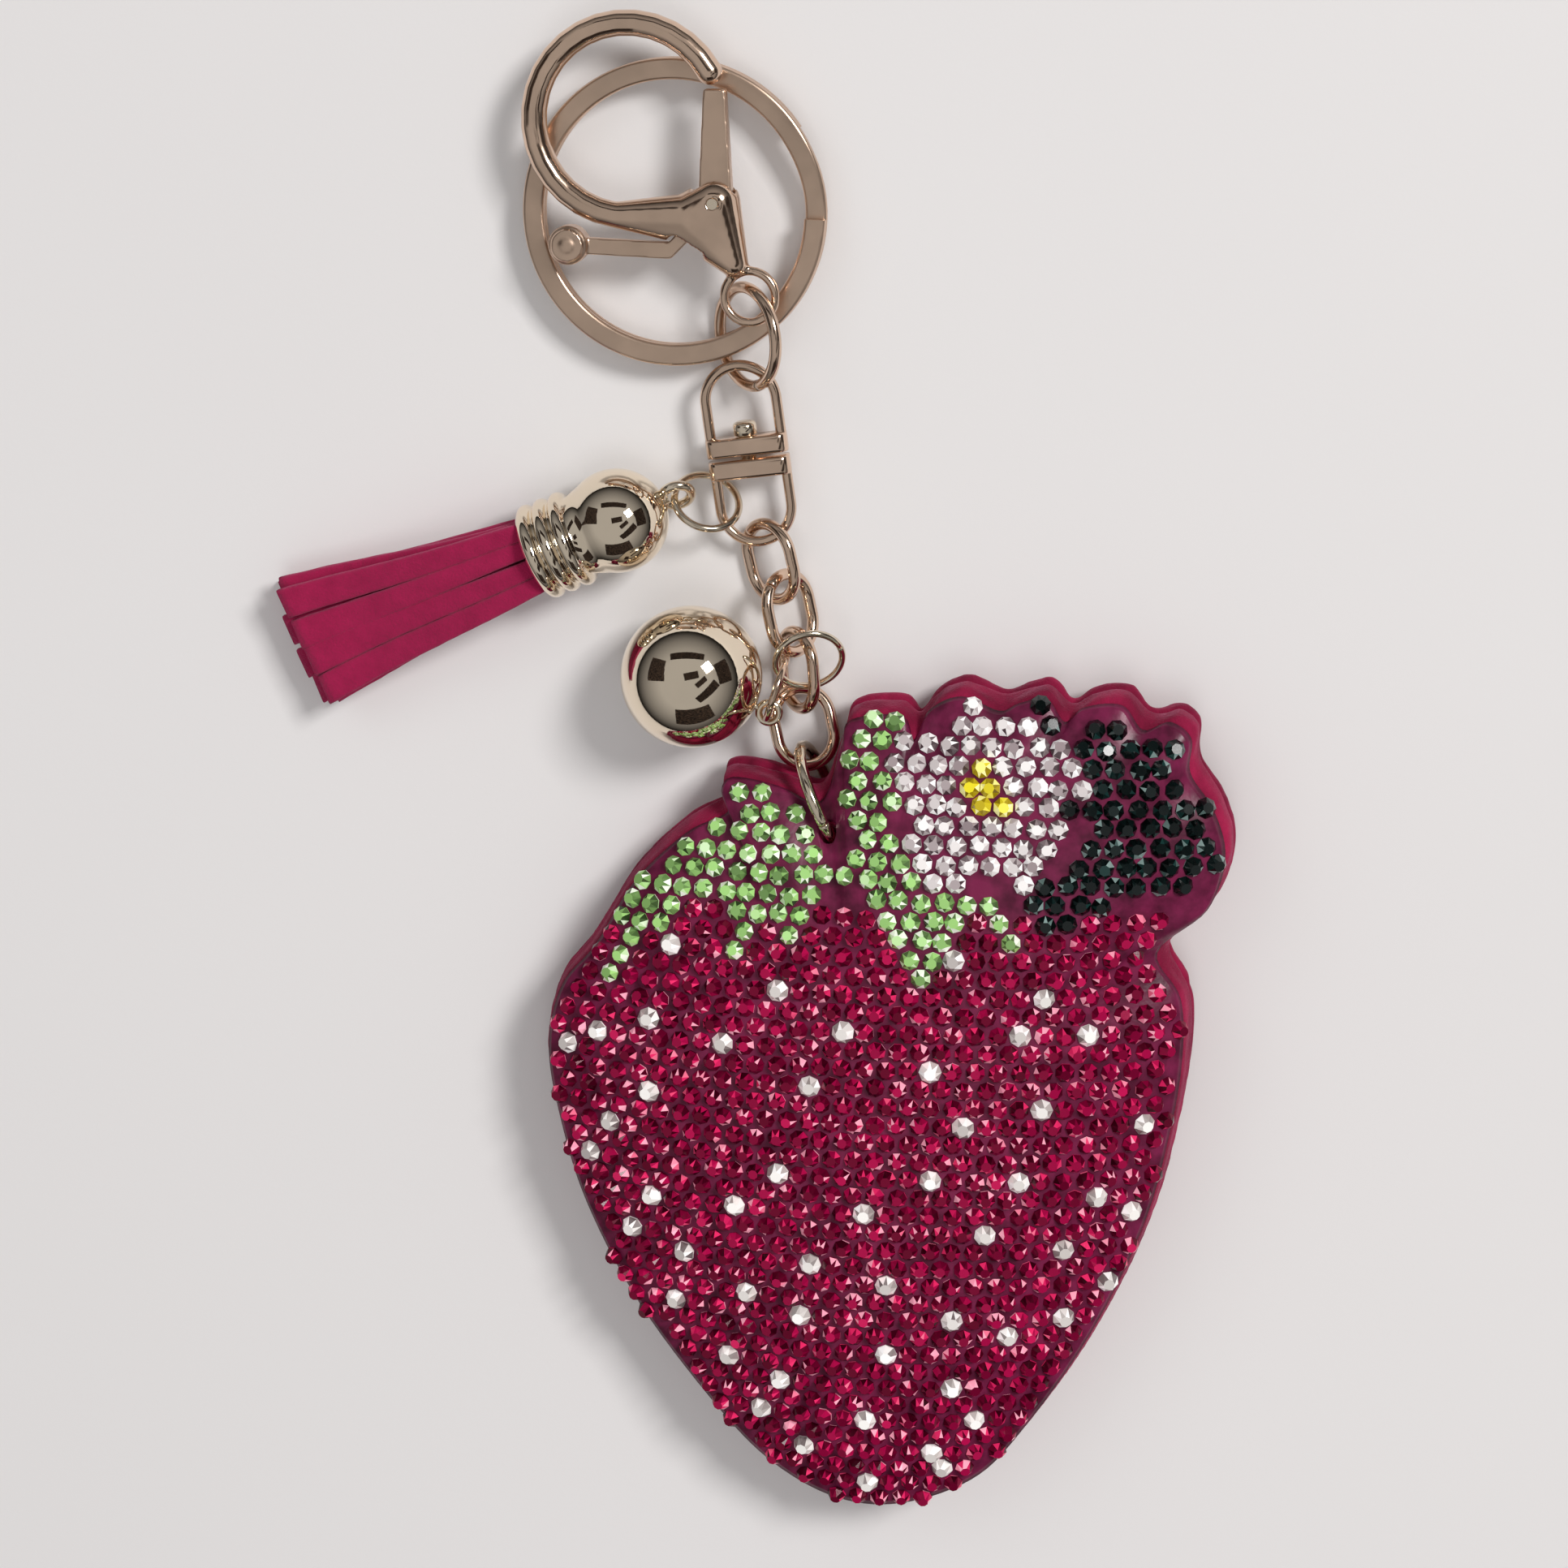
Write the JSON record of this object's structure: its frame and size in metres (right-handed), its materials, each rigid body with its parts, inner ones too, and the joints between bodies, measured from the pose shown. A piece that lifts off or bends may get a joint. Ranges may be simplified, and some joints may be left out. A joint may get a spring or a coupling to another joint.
{
  "type": "plush keychain",
  "caption": "Padded strawberry bag charm set with stones, hung on a short chain with a swivel, spring clasp, split ring, suede tassel and polished ball.",
  "frame": {"origin": "centre of the charm's flat back, on the surface it lies on", "axes": "+Y from the charm's tip towards the clasp, +Z out of the jewelled front, +X to the right seen from the front"},
  "size_m": [0.0906, 0.1425, 0.0138],
  "materials": {
    "velvet": "matte",
    "stuffing": "matte",
    "film": "gloss",
    "stone_seed": "gloss",
    "stone_green": "gloss",
    "stone_clear": "gloss",
    "stone_yellow": "gloss",
    "stone_dark": "gloss",
    "rose_gold": "polished",
    "pale_gold": "polished",
    "steel": "satin",
    "suede": "matte"
  },
  "bodies": {
    "charm": {"front_cover": "velvet", "back_cover": "velvet", "stuffing": "stuffing", "stone_film": "film", "seed_stones": "stone_seed", "leaf_stones": "stone_green", "flower_stones": "stone_clear", "flower_centre_stones": "stone_yellow", "dark_leaf_stones": "stone_dark"},
    "bail": {"bail_ring": "pale_gold"},
    "link_4": {"chain_link_4": "rose_gold"},
    "link_3": {"chain_link_3": "rose_gold"},
    "link_2": {"chain_link_2": "rose_gold"},
    "link_1": {"chain_link_1": "rose_gold"},
    "swivel_lower": {"swivel_lower_bow": "rose_gold", "swivel_rivet": "rose_gold"},
    "swivel_upper": {"swivel_upper_bow": "rose_gold"},
    "joiner": {"joiner_ring": "rose_gold"},
    "split_ring": {"split_ring": "rose_gold"},
    "clasp": {"clasp_body": "rose_gold", "gate_pin": "pale_gold", "gate_spring": "steel"},
    "gate": {"clasp_gate": "pale_gold"},
    "tassel_ring": {"tassel_ring": "pale_gold"},
    "tassel": {"tassel_eye": "pale_gold", "tassel_cap": "pale_gold", "tassel_core": "suede", "tassel_strips": "suede"},
    "jump_ring": {"ball_jump_ring": "pale_gold"},
    "loop": {"ball_loop": "rose_gold"},
    "ball": {"ball_eye": "pale_gold", "ball": "pale_gold"}
  },
  "joints": [
    {"name": "bail_swing", "type": "hinge", "parent": "charm", "child": "bail", "pos_m": [-0.00327, 0.02766, 0.0055], "axis": [0, 0, 1], "range_deg": [-3, 3]},
    {"name": "link_4_swing", "type": "hinge", "parent": "bail", "child": "link_4", "pos_m": [-0.0059, 0.0334, 0.003], "axis": [0, 0, -1], "range_deg": [-8, 8]},
    {"name": "link_3_swing", "type": "hinge", "parent": "link_4", "child": "link_3", "pos_m": [-0.0067, 0.0379, 0.0029], "axis": [0, 0, 1], "range_deg": [-8, 8]},
    {"name": "link_2_swing", "type": "hinge", "parent": "link_3", "child": "link_2", "pos_m": [-0.0069, 0.0432, 0.0029], "axis": [0, 0, -1], "range_deg": [-10, 10]},
    {"name": "link_1_swing", "type": "hinge", "parent": "link_2", "child": "link_1", "pos_m": [-0.0083, 0.04835, 0.0027], "axis": [0, 0, 1], "range_deg": [-10, 10]},
    {"name": "swivel_swing", "type": "hinge", "parent": "link_1", "child": "swivel_lower", "pos_m": [-0.0101, 0.0534, 0.0024], "axis": [0, 0, -1], "range_deg": [-10, 10]},
    {"name": "swivel_spin", "type": "hinge", "parent": "swivel_lower", "child": "swivel_upper", "pos_m": [-0.0111, 0.0606, 0.00275], "axis": [-0.1303, 0.9901, 0.0523], "continuous": true},
    {"name": "joiner_swing", "type": "hinge", "parent": "swivel_upper", "child": "joiner", "pos_m": [-0.0122, 0.069, 0.0032], "axis": [0, 0, 1], "range_deg": [-10, 10]},
    {"name": "split_swing", "type": "hinge", "parent": "joiner", "child": "split_ring", "pos_m": [-0.0112, 0.0718, 0.0026], "axis": [0, 0, -1], "range_deg": [-5, 4]},
    {"name": "clasp_swing", "type": "hinge", "parent": "joiner", "child": "clasp", "pos_m": [-0.0109, 0.0756, 0.0053], "axis": [0, 0, 1], "range_deg": [-6, 3]},
    {"name": "gate_open", "type": "hinge", "parent": "clasp", "child": "gate", "pos_m": [-0.0139, 0.0841, 0.0053], "axis": [0, 0, 1], "range_deg": [0, 20], "stiffness_Nm_per_rad": 0.002, "springref_deg": -11.46},
    {"name": "tassel_ring_swing", "type": "hinge", "parent": "swivel_lower", "child": "tassel_ring", "pos_m": [-0.0139, 0.0565, 0.0025], "axis": [0, 0, 1], "range_deg": [-8, 8]},
    {"name": "tassel_swing", "type": "hinge", "parent": "tassel_ring", "child": "tassel", "pos_m": [-0.01795, 0.05695, 0.0037], "axis": [0, 0, -1], "range_deg": [-12, 12]},
    {"name": "jump_ring_swing", "type": "hinge", "parent": "link_3", "child": "jump_ring", "pos_m": [-0.0048, 0.041, 0.0042], "axis": [0, 0, 1], "range_deg": [-5, 5]},
    {"name": "loop_swing", "type": "hinge", "parent": "jump_ring", "child": "loop", "pos_m": [-0.0083, 0.0408, 0.006], "axis": [0, 0, -1], "range_deg": [-5, 6]},
    {"name": "ball_swing", "type": "hinge", "parent": "loop", "child": "ball", "pos_m": [-0.00897, 0.0371, 0.0059], "axis": [0, 0, 1], "range_deg": [-5, 10]}
  ]
}
